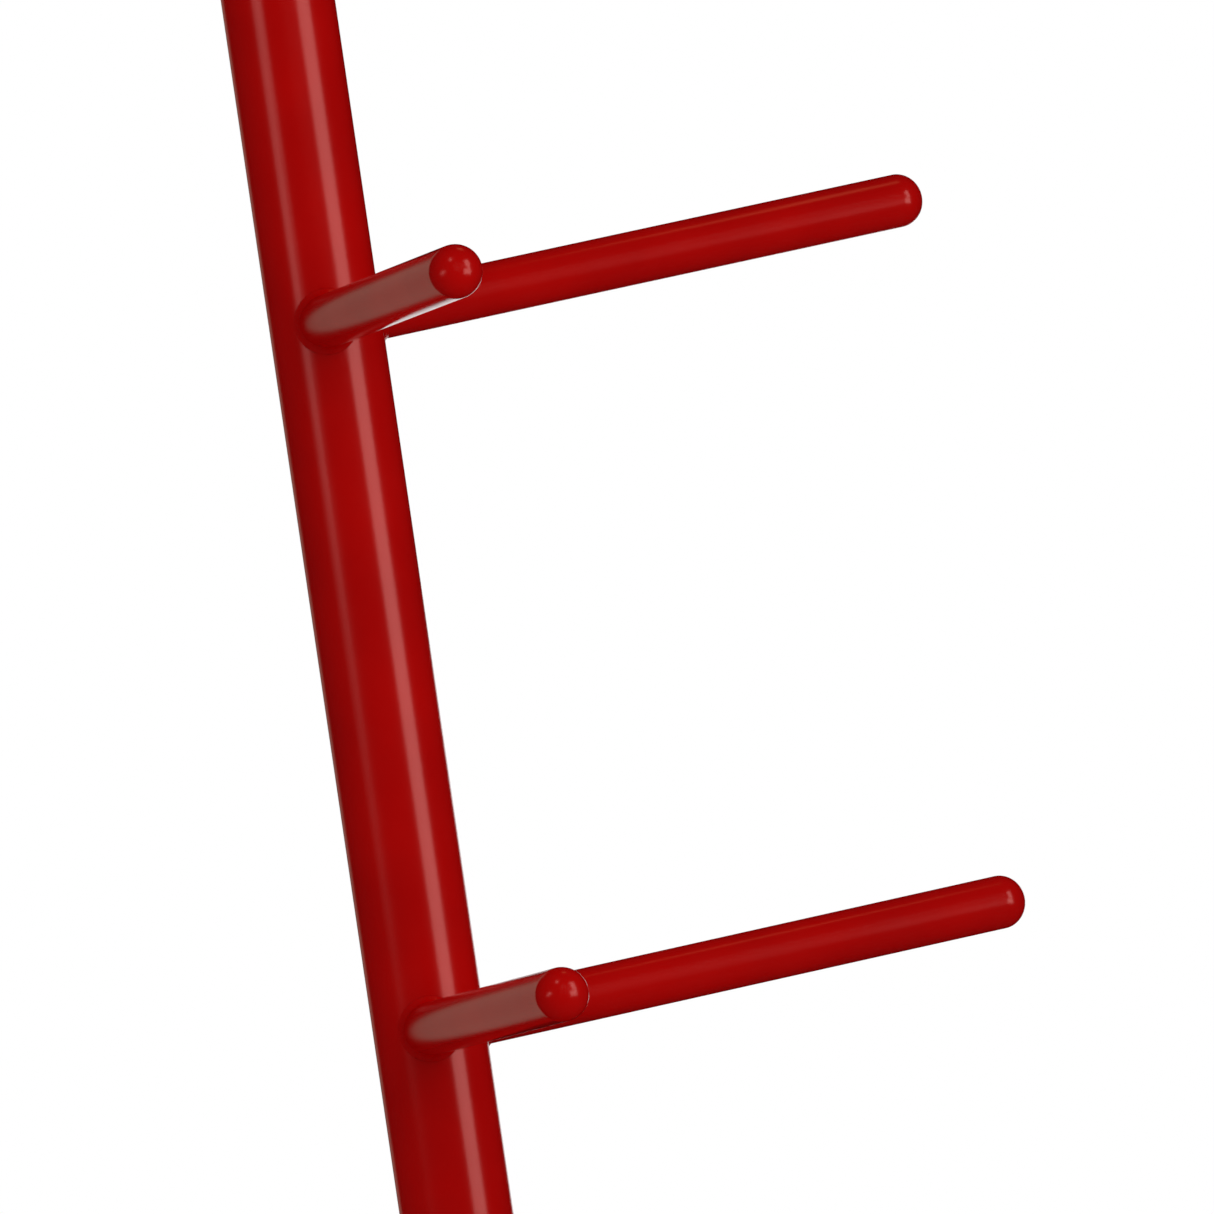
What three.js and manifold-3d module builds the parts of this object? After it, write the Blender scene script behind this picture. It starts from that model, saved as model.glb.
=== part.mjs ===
// Tyre storage rack: a leaning round post on a cross of square tubes, with three pairs of round arms.
// Each arm carries a wheel, or a stack of bare tyres. All sizes are in millimetres and degrees.
// The origin is on the floor under the middle of the base. +Z is up, and the arms point towards -Y.

import * as THREE from "three";
import { mergeVertices } from "three/addons/utils/BufferGeometryUtils.js";
import { ParametricGeometry } from "three/addons/geometries/ParametricGeometry.js";
import Module from "manifold-3d";

// Gap between neighbours that touch on the real rack.
const GAP = 0.3;

// Post: a round tube that leans back, away from the arms.
const POST_DIAMETER = 101.6;
const POST_WALL = 3.6;
const POST_LEAN = 10;
const POST_ABOVE_ARMS = 80;
const POST_CAP_RISE = 26;

// Arms: two at each level, spread to both sides of the front.
const LEVEL_NAMES = ["lower", "middle", "upper"];
const LOWEST_LEVEL = 540;
const LEVEL_SPACING = 640;
const ARM_DIAMETER = 48.3;
const ARM_WALL = 3.2;
const ARM_REACH = 568;
const ARM_SPREAD = 90;
const ARM_RISE = 3.6;
const ARM_OFFSET = 10;

// End caps: a pressed dome with a spigot that goes into the tube.
const CAP_WALL = 3;
const CAP_SPIGOT_LENGTH = 12;
const CAP_CLEARANCE = 0.3;

// Fillet welds.
const ARM_WELD_LEG = 5;
const POST_WELD_LEG = 7;
const WELD_CLEARANCE = 1;

// Post flange with a drain hole for the post, and the hub plate under it.
const PLATE_SIDE = 210;
const PLATE_CORNER = 14;
const FLANGE_THICKNESS = 12;
const HUB_THICKNESS = 10;
const DRAIN_DIAMETER = 32;

// Gussets between the post and its flange.
const GUSSET_THICKNESS = 8;
const GUSSET_HEIGHT = 105;
const GUSSET_FOOT = 128;
const GUSSET_TOP_WIDTH = 14;
const GUSSET_EDGE_HEIGHT = 12;

// Flange bolts, with a washer above the flange and a nut under the hub plate.
const BOLT_DIAMETER = 12;
const BOLT_RADIUS_AT = 82;
const BOLT_HEAD_FLATS = 18;
const BOLT_HEAD_HEIGHT = 7.5;
const BOLT_HOLE_CLEARANCE = 1.5;
const BOLT_PAST_NUT = 4;
const THREAD_CLEARANCE = 0.6;
const WASHER_DIAMETER = 24;
const WASHER_THICKNESS = 2.5;
const NUT_HEIGHT = 10;

// Base beams: square tube, one long beam and two short ones that meet it at the middle.
const BASE_SPAN = 1240;
const BEAM_SIDE = 60;
const BEAM_WALL = 3;
const BEAM_CORNER = 7;

// Plastic plugs in the open ends of the beams.
const PLUG_PLATE = 4;
const PLUG_DEPTH = 18;
const PLUG_WALL = 2.5;
const PLUG_CLEARANCE = 0.3;

// Rubber feet, each held by a screw and a nut inside the beam.
const FOOT_DIAMETER = 52;
const FOOT_TOP_DIAMETER = 46;
const FOOT_HEIGHT = 18;
const FOOT_FROM_END = 42;
const FOOT_RECESS_DIAMETER = 20;
const FOOT_RECESS_DEPTH = 9;
const SCREW_DIAMETER = 8;
const SCREW_HEAD_DIAMETER = 16;
const SCREW_HEAD_HEIGHT = 5;
const SCREW_HOLE_CLEARANCE = 0.8;
const SCREW_PAST_NUT = 3;
const SCREW_NUT_FLATS = 13;
const SCREW_NUT_HEIGHT = 6.5;

// Facets around round pieces.
const POST_SEGMENTS = 48;
const ARM_SEGMENTS = 32;
const SMALL_SEGMENTS = 16;
const DOME_STEPS = 5;
const DOME_INNER_STEPS = 3;
const CORNER_STEPS = 3;
const PLATE_STEPS = 6;
const FOOT_SEGMENTS = 24;

// Colours and finishes.
const redEnamel = new THREE.MeshStandardMaterial({ color: 0xb40000, roughness: 0.2, metalness: 0 });
const zincPlate = new THREE.MeshStandardMaterial({ color: 0xb9bcc0, roughness: 0.35, metalness: 1 });
const blackRubber = new THREE.MeshStandardMaterial({ color: 0x1c1c1c, roughness: 0.85, metalness: 0 });
const blackPlastic = new THREE.MeshStandardMaterial({ color: 0x202022, roughness: 0.5, metalness: 0 });

const wasm = await Module();
wasm.setup();

const radians = THREE.MathUtils.degToRad;
const postRadius = POST_DIAMETER / 2;
const armRadius = ARM_DIAMETER / 2;
const lean = radians(POST_LEAN);
const postLength = LOWEST_LEVEL + (LEVEL_NAMES.length - 1) * LEVEL_SPACING + POST_ABOVE_ARMS;

// Heights of the stack from the floor to the foot of the post.
const beamBottom = FOOT_HEIGHT + GAP;
const beamTop = beamBottom + BEAM_SIDE;
const hubBottom = beamTop + GAP;
const hubTop = hubBottom + HUB_THICKNESS;
const flangeBottom = hubTop + GAP;
const flangeTop = flangeBottom + FLANGE_THICKNESS;
const postFoot = flangeTop + GAP;

// ---- Solids ----

// A closed geometry as a manifold-3d solid.
function toSolid(geometry) {
  const bare = geometry.clone();
  bare.deleteAttribute("normal");
  bare.deleteAttribute("uv");
  const merged = mergeVertices(bare, 1e-4);
  return new wasm.Manifold(
    new wasm.Mesh({
      numProp: 3,
      vertProperties: new Float32Array(merged.attributes.position.array),
      triVerts: new Uint32Array(merged.index.array),
    }),
  );
}

// A manifold-3d solid as a geometry.
function toGeometry(solid) {
  const mesh = solid.getMesh();
  const geometry = new THREE.BufferGeometry();
  geometry.setAttribute("position", new THREE.BufferAttribute(mesh.vertProperties, mesh.numProp));
  geometry.setIndex(new THREE.BufferAttribute(mesh.triVerts, 1));
  geometry.computeVertexNormals();
  return geometry;
}

// The first geometry with all the others cut away from it.
function cut(geometry, ...tools) {
  const solid = tools.reduce((rest, tool) => rest.subtract(toSolid(tool)), toSolid(geometry));
  return toGeometry(solid);
}

// Two overlapping geometries as one.
function join(first, second) {
  return toGeometry(toSolid(first).add(toSolid(second)));
}

// The space that two geometries share.
function common(first, second) {
  return toGeometry(toSolid(first).intersect(toSolid(second)));
}

// A round bar along Z, from one height to another.
function bar(radius, from, to, segments) {
  const geometry = new THREE.CylinderGeometry(radius, radius, to - from, segments);
  geometry.rotateX(Math.PI / 2);
  geometry.translate(0, 0, (from + to) / 2);
  return geometry;
}

// A shape turned about Z: each point is [radius, height].
function turned(points, segments) {
  const profile = points.map(([radius, height]) => new THREE.Vector2(radius, height));
  const geometry = new THREE.LatheGeometry(profile, segments);
  geometry.rotateX(Math.PI / 2);
  return geometry;
}

// A round tube along Z, open at both ends.
function roundTube(outer, inner, from, to, segments) {
  const section = [
    [inner, from],
    [outer, from],
    [outer, to],
    [inner, to],
    [inner, from],
  ];
  return turned(section, segments);
}

// The outline of a square with round corners, centred on the origin.
function roundedSquare(side, corner) {
  const half = side / 2;
  const shape = new THREE.Shape();
  const centres = [[1, 1], [-1, 1], [-1, -1], [1, -1]];
  centres.forEach(([x, y], index) => {
    const start = (index * Math.PI) / 2;
    shape.absarc(x * (half - corner), y * (half - corner), corner, start, start + Math.PI / 2);
  });
  shape.closePath();
  return shape;
}

// A round hole for a shape.
function hole(x, y, radius) {
  return new THREE.Path().absarc(x, y, radius, 0, 2 * Math.PI, true);
}

// A shape extruded along +Z, starting at a height.
function extruded(shape, from, depth, steps = CORNER_STEPS) {
  const geometry = new THREE.ExtrudeGeometry(shape, { depth, bevelEnabled: false, curveSegments: steps });
  geometry.translate(0, 0, from);
  return geometry;
}

// A hexagonal nut with a plain round hole.
function hexNut(flats, threadDiameter, height) {
  const shape = new THREE.Shape();
  const corner = flats / Math.sqrt(3);
  const turns = [0, 1, 2, 3, 4, 5].map((index) => (index * Math.PI) / 3);
  shape.setFromPoints(turns.map((turn) => new THREE.Vector2(corner * Math.cos(turn), corner * Math.sin(turn))));
  shape.holes.push(hole(0, 0, (threadDiameter + THREAD_CLEARANCE) / 2));
  return extruded(shape, 0, height, SMALL_SEGMENTS / 2);
}

// A hollow domed cap for a tube that ends at height 0, with its spigot inside the tube.
function domedCap(radius, wall, rise, segments) {
  const spigot = radius - wall - CAP_CLEARANCE;
  const bore = spigot - CAP_WALL;
  const points = [];
  for (let step = 0; step <= DOME_INNER_STEPS; step++) {
    const turn = ((1 - step / DOME_INNER_STEPS) * Math.PI) / 2;
    points.push([bore * Math.cos(turn), (rise - CAP_WALL) * Math.sin(turn)]);
  }
  points[0][0] = 0;
  points.push([bore, -CAP_SPIGOT_LENGTH], [spigot, -CAP_SPIGOT_LENGTH], [spigot, GAP]);
  for (let step = 0; step <= DOME_STEPS; step++) {
    const turn = ((step / DOME_STEPS) * Math.PI) / 2;
    points.push([radius * Math.cos(turn), GAP + (rise - GAP) * Math.sin(turn)]);
  }
  points[points.length - 1][0] = 0;
  return turned(points, segments);
}

// A concave fillet weld around a tube along Z. seatAt gives the height of the surface that the tube
// is welded to, at a radius and an angle around the tube.
function weldRing(radius, leg, seatAt, segments) {
  const inner = radius + GAP;
  const sectionAt = (angle) => {
    const corner = new THREE.Vector2(inner, seatAt(inner, angle));
    const seatToe = new THREE.Vector2(inner + leg, seatAt(inner + leg, angle));
    const tubeToe = new THREE.Vector2(inner, corner.y + leg);
    const hollow = seatToe.clone().add(tubeToe).add(corner).divideScalar(3);
    const middle = seatToe.clone().add(tubeToe).divideScalar(2).lerp(hollow, 0.5);
    return [corner, seatToe, middle, tubeToe];
  };
  const sides = sectionAt(0).length;
  const place = (u, v, target) => {
    const angle = (Math.round(u * segments) % segments) * ((2 * Math.PI) / segments);
    const point = sectionAt(angle)[Math.round(v * sides) % sides];
    target.set(point.x * Math.cos(angle), point.x * Math.sin(angle), point.y);
  };
  return new ParametricGeometry(place, segments, sides);
}

// ---- Assembly ----

const rack = new THREE.Group();

function addPiece(parent, name, geometry, material) {
  const mesh = new THREE.Mesh(geometry, material);
  mesh.name = name;
  parent.add(mesh);
  return mesh;
}

// ---- Post ----

// Everything on the post sits in a group that leans with it. Its origin is the foot of the post's axis.
const leaning = new THREE.Group();
leaning.position.z = postFoot;
leaning.rotation.x = -lean;
rack.add(leaning);

// The floor side of the flange's top face, in the leaning frame, cuts the foot of the tube level.
function belowFlangeTop(height) {
  const slab = new THREE.BoxGeometry(2 * PLATE_SIDE, 2 * PLATE_SIDE, PLATE_SIDE);
  slab.translate(0, 0, height - PLATE_SIDE / 2);
  slab.rotateX(lean);
  return slab;
}

const postStock = roundTube(postRadius, postRadius - POST_WALL, -POST_DIAMETER, postLength, POST_SEGMENTS);
addPiece(leaning, "post_tube", cut(postStock, belowFlangeTop(0)), redEnamel);

const postCap = addPiece(
  leaning,
  "post_cap",
  domedCap(postRadius, POST_WALL, POST_CAP_RISE, POST_SEGMENTS),
  redEnamel,
);
postCap.position.z = postLength;

// Height of the flange's top face along the leaning post.
function flangeSeat(radius, angle) {
  return radius * Math.sin(angle) * Math.tan(lean);
}

addPiece(leaning, "post_weld", weldRing(postRadius, POST_WELD_LEG, flangeSeat, POST_SEGMENTS), redEnamel);

// ---- Arms ----

// The frame of one arm on the post: Z runs along the arm, and the origin is the nearest point to the
// post's axis. side is -1 for left and 1 for right.
function armFrame(side) {
  const azimuth = (side * radians(ARM_SPREAD)) / 2;
  const rise = radians(ARM_RISE);
  const along = new THREE.Vector3(
    Math.sin(azimuth) * Math.cos(rise),
    -Math.cos(azimuth) * Math.cos(rise),
    Math.sin(rise),
  );
  const sideways = new THREE.Vector3(Math.cos(azimuth), Math.sin(azimuth), 0).multiplyScalar(side);
  const across = new THREE.Vector3().crossVectors(along, sideways);
  const frame = new THREE.Matrix4().makeBasis(sideways, across, along);
  return frame.setPosition(sideways.multiplyScalar(ARM_OFFSET));
}

// Height along the arm at which it meets the post.
function postSeat(frame) {
  const onPost = postRadius + GAP;
  const start = new THREE.Vector3();
  const along = new THREE.Vector3().setFromMatrixColumn(frame, 2);
  return (radius, angle) => {
    start.set(radius * Math.cos(angle), radius * Math.sin(angle), 0).applyMatrix4(frame);
    const square = along.x ** 2 + along.y ** 2;
    const linear = start.x * along.x + start.y * along.y;
    const rest = start.x ** 2 + start.y ** 2 - onPost ** 2;
    return (-linear + Math.sqrt(linear ** 2 - square * rest)) / square;
  };
}

const armEnd = ARM_REACH - armRadius;
const capShape = domedCap(armRadius, ARM_WALL, armRadius, ARM_SEGMENTS);

for (const [sideName, side] of [["left", -1], ["right", 1]]) {
  const frame = armFrame(side);
  const cope = bar(postRadius + GAP, -LEVEL_SPACING / 2, LEVEL_SPACING / 2, 2 * POST_SEGMENTS);
  cope.applyMatrix4(frame.clone().invert());
  const stock = roundTube(armRadius, armRadius - ARM_WALL, 0, armEnd, ARM_SEGMENTS);
  const tubeShape = cut(stock, cope);
  const weldShape = weldRing(armRadius, ARM_WELD_LEG, postSeat(frame), ARM_SEGMENTS);
  LEVEL_NAMES.forEach((levelName, level) => {
    const arm = new THREE.Group();
    frame.decompose(arm.position, arm.quaternion, arm.scale);
    arm.position.z += LOWEST_LEVEL + level * LEVEL_SPACING;
    leaning.add(arm);
    addPiece(arm, `arm_tube_${levelName}_${sideName}`, tubeShape, redEnamel);
    addPiece(arm, `arm_cap_${levelName}_${sideName}`, capShape, redEnamel).position.z = armEnd;
    addPiece(arm, `arm_weld_${levelName}_${sideName}`, weldShape, redEnamel);
  });
}

// ---- Flange, gussets and hub plate ----

const boltPlaces = [
  ["front", 0, -BOLT_RADIUS_AT],
  ["right", BOLT_RADIUS_AT, 0],
  ["back", 0, BOLT_RADIUS_AT],
  ["left", -BOLT_RADIUS_AT, 0],
];

// A square plate with the four bolt holes.
function boltedPlate(from, thickness, ...moreHoles) {
  const shape = roundedSquare(PLATE_SIDE, PLATE_CORNER);
  shape.holes.push(...moreHoles);
  for (const [, x, y] of boltPlaces) {
    shape.holes.push(hole(x, y, (BOLT_DIAMETER + BOLT_HOLE_CLEARANCE) / 2));
  }
  return extruded(shape, from, thickness, PLATE_STEPS);
}

const drain = hole(0, 0, DRAIN_DIAMETER / 2);
addPiece(rack, "post_flange", boltedPlate(flangeBottom, FLANGE_THICKNESS, drain), redEnamel);
addPiece(rack, "hub_plate", boltedPlate(hubBottom, HUB_THICKNESS), redEnamel);

// The gusset plate stands on the flange, above a base beam, and is cut to the post and its weld.
function gussetShape(azimuth) {
  const postAtTop = postRadius - GUSSET_HEIGHT * Math.tan(lean) * Math.cos(azimuth);
  const outline = new THREE.Shape([
    new THREE.Vector2(0, 0),
    new THREE.Vector2(GUSSET_FOOT, 0),
    new THREE.Vector2(GUSSET_FOOT, GUSSET_EDGE_HEIGHT),
    new THREE.Vector2(postAtTop + GUSSET_TOP_WIDTH, GUSSET_HEIGHT),
    new THREE.Vector2(0, GUSSET_HEIGHT),
  ]);
  const plate = extruded(outline, -GUSSET_THICKNESS / 2, GUSSET_THICKNESS);
  plate.rotateX(Math.PI / 2);
  plate.rotateZ(azimuth - Math.PI / 2);
  plate.rotateX(lean);
  const post = bar(postRadius + GAP, -POST_DIAMETER, 2 * GUSSET_HEIGHT, POST_SEGMENTS);
  const aroundWeld = bar(
    postRadius + POST_WELD_LEG + WELD_CLEARANCE,
    -POST_DIAMETER,
    2 * GUSSET_HEIGHT,
    POST_SEGMENTS,
  );
  const notch = common(aroundWeld, belowFlangeTop(POST_WELD_LEG + WELD_CLEARANCE));
  return cut(plate, post, notch);
}

for (const [name, degrees] of [
  ["front_left", -45],
  ["front_right", 45],
  ["back_right", 135],
  ["back_left", 225],
]) {
  addPiece(leaning, `gusset_${name}`, gussetShape(radians(degrees)), redEnamel);
}

// ---- Flange bolts ----

const washerTop = flangeTop + GAP + WASHER_THICKNESS;
const nutTop = hubBottom - GAP;
const boltEnd = nutTop - NUT_HEIGHT - BOLT_PAST_NUT;
const headCorner = BOLT_HEAD_FLATS / Math.sqrt(3);
const boltShape = join(
  bar(headCorner, washerTop + GAP, washerTop + GAP + BOLT_HEAD_HEIGHT, 6),
  bar(BOLT_DIAMETER / 2, boltEnd, washerTop + GAP + BOLT_HEAD_HEIGHT / 2, SMALL_SEGMENTS),
);
const washerShape = roundTube(
  WASHER_DIAMETER / 2,
  (BOLT_DIAMETER + THREAD_CLEARANCE) / 2,
  flangeTop + GAP,
  washerTop,
  SMALL_SEGMENTS,
);
const nutShape = hexNut(BOLT_HEAD_FLATS, BOLT_DIAMETER, NUT_HEIGHT);

for (const [name, x, y] of boltPlaces) {
  addPiece(rack, `flange_bolt_${name}`, boltShape, zincPlate).position.set(x, y, 0);
  addPiece(rack, `flange_washer_${name}`, washerShape, zincPlate).position.set(x, y, 0);
  addPiece(rack, `flange_nut_${name}`, nutShape, zincPlate).position.set(x, y, nutTop - NUT_HEIGHT);
}

// ---- Base beams, plugs and feet ----

// A square tube along +Z, and the same tube laid along +X at the height of the base.
function squareTube(side, corner, wall, from, length) {
  const shape = roundedSquare(side, corner);
  shape.holes.push(roundedSquare(side - 2 * wall, corner - wall));
  return extruded(shape, from, length);
}

function laidAlongX(geometry) {
  geometry.rotateY(Math.PI / 2);
  geometry.translate(0, 0, beamBottom + BEAM_SIDE / 2);
  return geometry;
}

const baseReach = BASE_SPAN / 2;
const footReach = baseReach - FOOT_FROM_END;
const screwHole = bar(
  (SCREW_DIAMETER + SCREW_HOLE_CLEARANCE) / 2,
  beamBottom - BEAM_WALL,
  beamBottom + 2 * BEAM_WALL,
  SMALL_SEGMENTS,
);

// A beam between two distances from the middle of the base, with a screw hole over each of its feet.
function beam(from, feet) {
  const tube = laidAlongX(squareTube(BEAM_SIDE, BEAM_CORNER, BEAM_WALL, from, baseReach - from));
  return cut(tube, ...feet.map((place) => screwHole.clone().translate(place, 0, 0)));
}

const shortBeam = beam(BEAM_SIDE / 2 + GAP, [footReach]);
addPiece(rack, "base_beam_long", beam(-baseReach, [-footReach, footReach]), redEnamel).rotation.z =
  radians(45);
addPiece(rack, "base_beam_front_right", shortBeam, redEnamel).rotation.z = radians(-45);
addPiece(rack, "base_beam_back_left", shortBeam, redEnamel).rotation.z = radians(135);

const plugInside = BEAM_SIDE - 2 * BEAM_WALL - 2 * PLUG_CLEARANCE;
const plugCorner = BEAM_CORNER - BEAM_WALL;
const plugShape = laidAlongX(
  join(
    extruded(roundedSquare(BEAM_SIDE, BEAM_CORNER), baseReach + GAP, PLUG_PLATE),
    squareTube(
      plugInside,
      plugCorner,
      PLUG_WALL,
      baseReach + GAP - PLUG_DEPTH,
      PLUG_DEPTH + PLUG_PLATE / 2,
    ),
  ),
);

const footShape = turned(
  [
    [(SCREW_DIAMETER + SCREW_HOLE_CLEARANCE) / 2, FOOT_RECESS_DEPTH],
    [FOOT_RECESS_DIAMETER / 2, FOOT_RECESS_DEPTH],
    [FOOT_RECESS_DIAMETER / 2, 0],
    [FOOT_DIAMETER / 2, 0],
    [FOOT_TOP_DIAMETER / 2, FOOT_HEIGHT],
    [(SCREW_DIAMETER + SCREW_HOLE_CLEARANCE) / 2, FOOT_HEIGHT],
    [(SCREW_DIAMETER + SCREW_HOLE_CLEARANCE) / 2, FOOT_RECESS_DEPTH],
  ],
  FOOT_SEGMENTS,
);

const screwHeadTop = FOOT_RECESS_DEPTH - GAP;
const screwHeadBottom = screwHeadTop - SCREW_HEAD_HEIGHT;
const screwNutBottom = beamBottom + BEAM_WALL + GAP;
const screwEnd = screwNutBottom + SCREW_NUT_HEIGHT + SCREW_PAST_NUT;
const screwShape = join(
  bar(SCREW_HEAD_DIAMETER / 2, screwHeadBottom, screwHeadTop, SMALL_SEGMENTS),
  bar(SCREW_DIAMETER / 2, screwHeadTop - SCREW_HEAD_HEIGHT / 2, screwEnd, SMALL_SEGMENTS),
);
const screwNutShape = hexNut(SCREW_NUT_FLATS, SCREW_DIAMETER, SCREW_NUT_HEIGHT);

for (const [name, degrees] of [
  ["front_left", 225],
  ["front_right", -45],
  ["back_right", 45],
  ["back_left", 135],
]) {
  const corner = new THREE.Group();
  corner.rotation.z = radians(degrees);
  rack.add(corner);
  addPiece(corner, `beam_plug_${name}`, plugShape, blackPlastic);
  addPiece(corner, `foot_${name}`, footShape, blackRubber).position.x = footReach;
  addPiece(corner, `foot_screw_${name}`, screwShape, zincPlate).position.x = footReach;
  addPiece(corner, `foot_nut_${name}`, screwNutShape, zincPlate).position.set(footReach, 0, screwNutBottom);
}

export default rack;
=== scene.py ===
# Tyre storage rack: a leaning round post on a cross of square tubes, with three pairs of round arms. The
# steel is welded and powder coated red. The sections follow the rack as it is put together. Lengths are in
# metres.

import math

import bmesh
import bpy
from mathutils import Matrix, Vector
from mathutils.geometry import tessellate_polygon


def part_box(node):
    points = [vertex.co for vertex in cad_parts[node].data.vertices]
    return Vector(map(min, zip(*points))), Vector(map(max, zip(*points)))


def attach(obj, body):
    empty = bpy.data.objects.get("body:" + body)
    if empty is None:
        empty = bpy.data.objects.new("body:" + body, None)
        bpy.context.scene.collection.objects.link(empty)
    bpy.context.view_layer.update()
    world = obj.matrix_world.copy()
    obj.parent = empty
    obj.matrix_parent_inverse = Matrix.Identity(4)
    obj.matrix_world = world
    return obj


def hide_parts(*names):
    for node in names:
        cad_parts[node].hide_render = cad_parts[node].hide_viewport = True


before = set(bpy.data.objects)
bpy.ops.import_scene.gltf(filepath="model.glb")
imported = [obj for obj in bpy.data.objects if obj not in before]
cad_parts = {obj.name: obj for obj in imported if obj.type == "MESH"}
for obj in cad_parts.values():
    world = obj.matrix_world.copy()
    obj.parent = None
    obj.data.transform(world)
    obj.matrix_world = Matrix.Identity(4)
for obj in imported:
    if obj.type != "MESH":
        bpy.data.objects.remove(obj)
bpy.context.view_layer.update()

# ---- Base beams ----
# Square steel tube, cold rolled with round corners and sawn square at the ends. One beam runs right through
# the cross and two short ones are welded to its sides. All the welded steel is blasted and coated together.

MM = 0.001
BEAM_SIDE = 60 * MM
BEAM_WALL = 3 * MM
BEAM_CORNER = 7 * MM
SAWN_EDGE = 0.5 * MM
BEAM_TURNS = {"base_beam_long": 45, "base_beam_front_right": -45, "base_beam_back_left": 135}


def linear(hex_colour):
    """An sRGB hex colour as linear red, green, blue and alpha."""
    channels = [int(hex_colour[i : i + 2], 16) / 255 for i in (0, 2, 4)]
    return [c / 12.92 if c <= 0.04045 else ((c + 0.055) / 1.055) ** 2.4 for c in channels] + [1.0]


def add(tree, kind, settings=None, **inputs):
    """Adds a node. settings are its own properties, and each of the inputs is a value or a socket to link."""
    made = tree.nodes.new(kind)
    for name, value in (settings or {}).items():
        setattr(made, name, value)
    for name, value in inputs.items():
        socket = made.inputs[name.replace("_", " ")]
        if isinstance(value, bpy.types.NodeSocket):
            tree.links.new(value, socket)
        else:
            socket.default_value = value
    return made


def empty_material(name):
    material = bpy.data.materials.new(name)
    material.use_nodes = True
    material.node_tree.nodes.clear()
    return material


def gloss_powder_coat():
    """Gloss polyester powder coat, sprayed on blasted steel and melted in an oven. It gives a deep, even red
    under a wet-looking skin, with a shallow orange peel that only shows in the edges of its reflections."""
    material = empty_material("gloss_red_powder_coat")
    tree = material.node_tree
    place = add(tree, "ShaderNodeTexCoord").outputs["Object"]
    cloud = add(tree, "ShaderNodeTexNoise", Vector=place, Scale=1 / (120 * MM), Detail=3.0)
    tone = add(tree, "ShaderNodeValToRGB", Fac=cloud.outputs["Fac"])
    thin, thick = tone.color_ramp.elements
    thin.position, thin.color = 0.36, linear("bb0000")
    thick.position, thick.color = 0.66, linear("c60100")
    haze = add(tree, "ShaderNodeTexNoise", Vector=place, Scale=1 / (40 * MM), Detail=4.0, Roughness=0.6)
    dullness = add(tree, "ShaderNodeMapRange", Value=haze.outputs["Fac"], To_Min=0.16, To_Max=0.22)
    peel = add(tree, "ShaderNodeTexNoise", Vector=place, Scale=1 / (4 * MM), Detail=1.0, Roughness=0.4)
    relief = add(tree, "ShaderNodeBump", Height=peel.outputs["Fac"], Strength=0.1, Distance=0.1 * MM)
    surface = add(
        tree,
        "ShaderNodeBsdfPrincipled",
        Base_Color=tone.outputs["Color"],
        Roughness=dullness.outputs["Result"],
        Normal=relief.outputs["Normal"],
        IOR=1.5,
        Specular_Tint=linear("ffc4bc"),
    )
    add(tree, "ShaderNodeOutputMaterial", Surface=surface.outputs["BSDF"])
    return material


def filleted(*corners, steps=6):
    """A closed outline through corners of (x, y, radius), with each corner rounded to its radius."""
    points = []
    for i, (x, y, radius) in enumerate(corners):
        here = Vector((x, y))
        if radius == 0:
            points.append(here)
            continue
        before = (Vector(corners[i - 1][:2]) - here).normalized()
        after = (Vector(corners[(i + 1) % len(corners)][:2]) - here).normalized()
        half = before.angle(after) / 2
        centre = here + (before + after).normalized() * radius / math.sin(half)
        start = (here + before * radius / math.tan(half) - centre).normalized()
        end = (here + after * radius / math.tan(half) - centre).normalized()
        points += [centre + start.slerp(end, step / steps) * radius for step in range(steps + 1)]
    return points


def square(side, corner, steps=6):
    half = side / 2
    corners = [(x * half, y * half, corner) for x, y in ((1, 1), (-1, 1), (-1, -1), (1, -1))]
    return filleted(*corners, steps=steps)


def circle(radius, x=0, y=0, steps=48):
    turns = [2 * math.pi * step / steps for step in range(steps)]
    return [Vector((x + radius * math.cos(turn), y + radius * math.sin(turn))) for turn in turns]


def level_ring(outline, height):
    """The outline, level at a height."""
    return [point.to_3d() + Vector((0, 0, height)) for point in outline]


def skin(rings, closed=False):
    """Faces from each ring of points to the next. A ring of one point closes an end."""
    points = [point for ring in rings for point in ring]
    starts = [sum(len(ring) for ring in rings[:i]) for i in range(len(rings))]
    pairs = list(zip(range(len(rings)), range(1, len(rings))))
    if closed:
        pairs.append((len(rings) - 1, 0))
    faces = []
    for first, second in pairs:
        a, b = starts[first], starts[second]
        count = max(len(rings[first]), len(rings[second]))
        for i in range(count):
            j = (i + 1) % count
            if len(rings[first]) == 1:
                faces.append((a, b + j, b + i))
            elif len(rings[second]) == 1:
                faces.append((a + i, a + j, b))
            else:
                faces.append((a + i, a + j, b + j, b + i))
    return points, faces


def inset(outline, depth):
    """The outline moved to its left by a depth."""
    moved = []
    for i, point in enumerate(outline):
        before = (point - outline[i - 1]).normalized()
        after = (outline[(i + 1) % len(outline)] - point).normalized()
        left = Vector((-before.y, before.x)) + Vector((-after.y, after.x))
        moved.append(point + left * depth / (1 + before.dot(after)))
    return moved


def slab(outline, holes, thickness, edge):
    """A flat plate or a straight section along +Z, with its rims rounded. Holes are outlines too."""
    rounds = [math.radians(30 * step) for step in range(4)]
    rim = [(edge * (1 - math.sin(turn)), edge * (1 - math.cos(turn))) for turn in rounds]
    levels = rim + [(depth, thickness - z) for depth, z in reversed(rim)]
    sides = [outline] + [hole[::-1] for hole in holes]
    skins = [skin([level_ring(inset(side, depth), z) for depth, z in levels]) for side in sides]
    for z in (0, thickness):
        rims = [level_ring(inset(side, edge), z) for side in sides]
        skins.append(([point for rim in rims for point in rim], tessellate_polygon(rims)))
    return skins


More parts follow.
